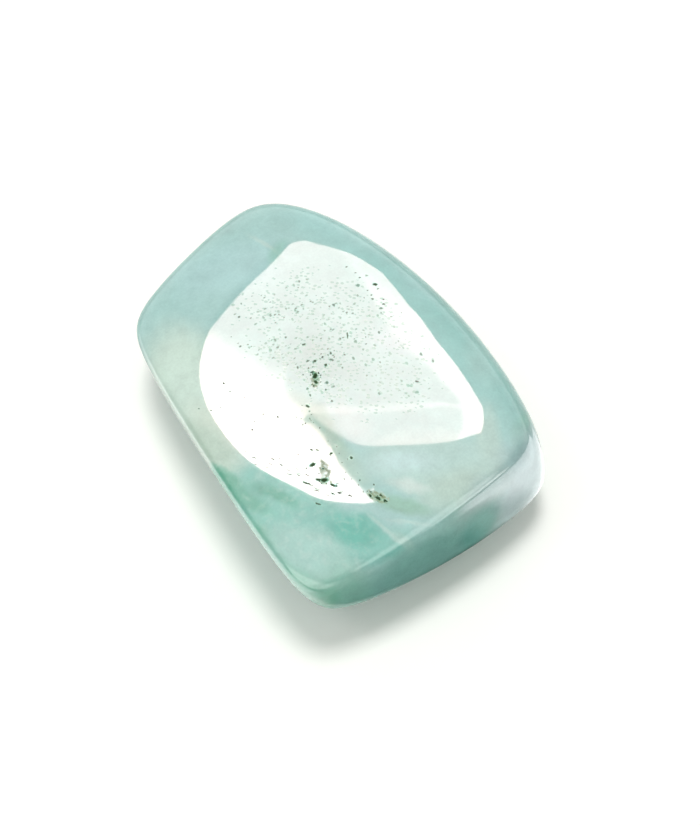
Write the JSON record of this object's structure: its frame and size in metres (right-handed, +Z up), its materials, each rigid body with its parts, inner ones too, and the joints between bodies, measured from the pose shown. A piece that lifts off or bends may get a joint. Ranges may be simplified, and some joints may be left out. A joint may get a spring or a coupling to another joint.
{
  "type": "tumbled stone",
  "caption": "Polished tumbled stone: a rounded, slab-like pebble of blue-green feldspar with a wide end, a narrow end and a small flat spot underneath to rest on.",
  "frame": {"origin": "middle of the stone's footprint, on the surface that it rests on", "axes": "+X towards the wide end, along the length; +Y towards the softly rounded back side; +Z up"},
  "size_m": [0.0296, 0.0226, 0.0105],
  "materials": {
    "stone": "polished, cloudy blue-green with cream and white zones"
  },
  "bodies": {
    "root": {"tumbled_stone": "stone"}
  },
  "joints": []
}
